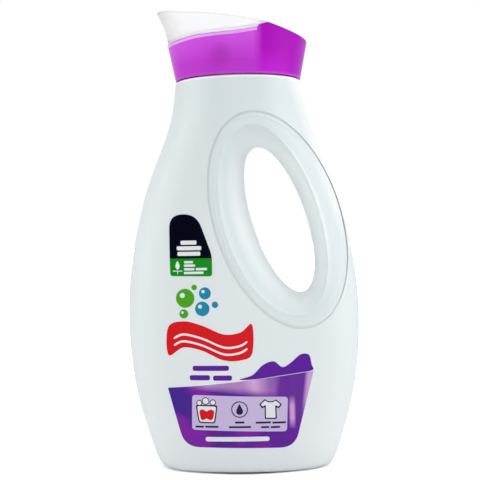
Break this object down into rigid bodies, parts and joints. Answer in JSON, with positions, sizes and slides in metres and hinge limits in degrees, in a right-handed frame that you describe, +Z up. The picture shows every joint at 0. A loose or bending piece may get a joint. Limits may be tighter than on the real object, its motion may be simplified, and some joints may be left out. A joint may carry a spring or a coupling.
{
  "type": "laundry detergent bottle",
  "caption": "Flat oval laundry detergent bottle with a slanted handle opening, a flared screw closure and a dosing cup with a pouring lip that nests in the closure.",
  "frame": {"origin": "centre of the standing face, on the axis of the neck", "axes": "+Z up along the neck, -Y out of the front face with the labels, +X towards the handle, -X towards the pouring lip"},
  "size_m": [0.1131, 0.0708, 0.2216],
  "materials": {
    "bottle_white": "blown polyethylene, satin",
    "spout_white": "moulded polyethylene, satin",
    "seal_foam": "foamed polyethylene liner",
    "closure_purple": "translucent moulded polypropylene, glossy",
    "cup_frosted": "frosted natural polypropylene",
    "label_violet": "printed film",
    "label_navy": "printed film"
  },
  "bodies": {
    "bottle": {"bottle": "bottle_white", "pour_spout": "spout_white", "panel_label": "label_violet", "badge_label": "label_navy"},
    "seal": {"closure_seal": "seal_foam"},
    "closure": {"closure": "closure_purple"},
    "cup": {"dosing_cup": "cup_frosted"}
  },
  "joints": [
    {"name": "closure_rise", "type": "slide", "parent": "bottle", "child": "seal", "axis": [0, 0, 1], "range_m": [0, 0.012]},
    {"name": "closure_turn", "type": "hinge", "parent": "seal", "child": "closure", "pos_m": [0, 0, 0.194], "axis": [0, 0, 1], "range_deg": [0, 360]},
    {"name": "cup_lift", "type": "slide", "parent": "closure", "child": "cup", "axis": [0, 0, 1], "range_m": [0, 0.06]}
  ],
  "couplings": [
    {"joint": "closure_rise", "follows": "closure_turn", "m_per_rad": 0.0019099}
  ]
}
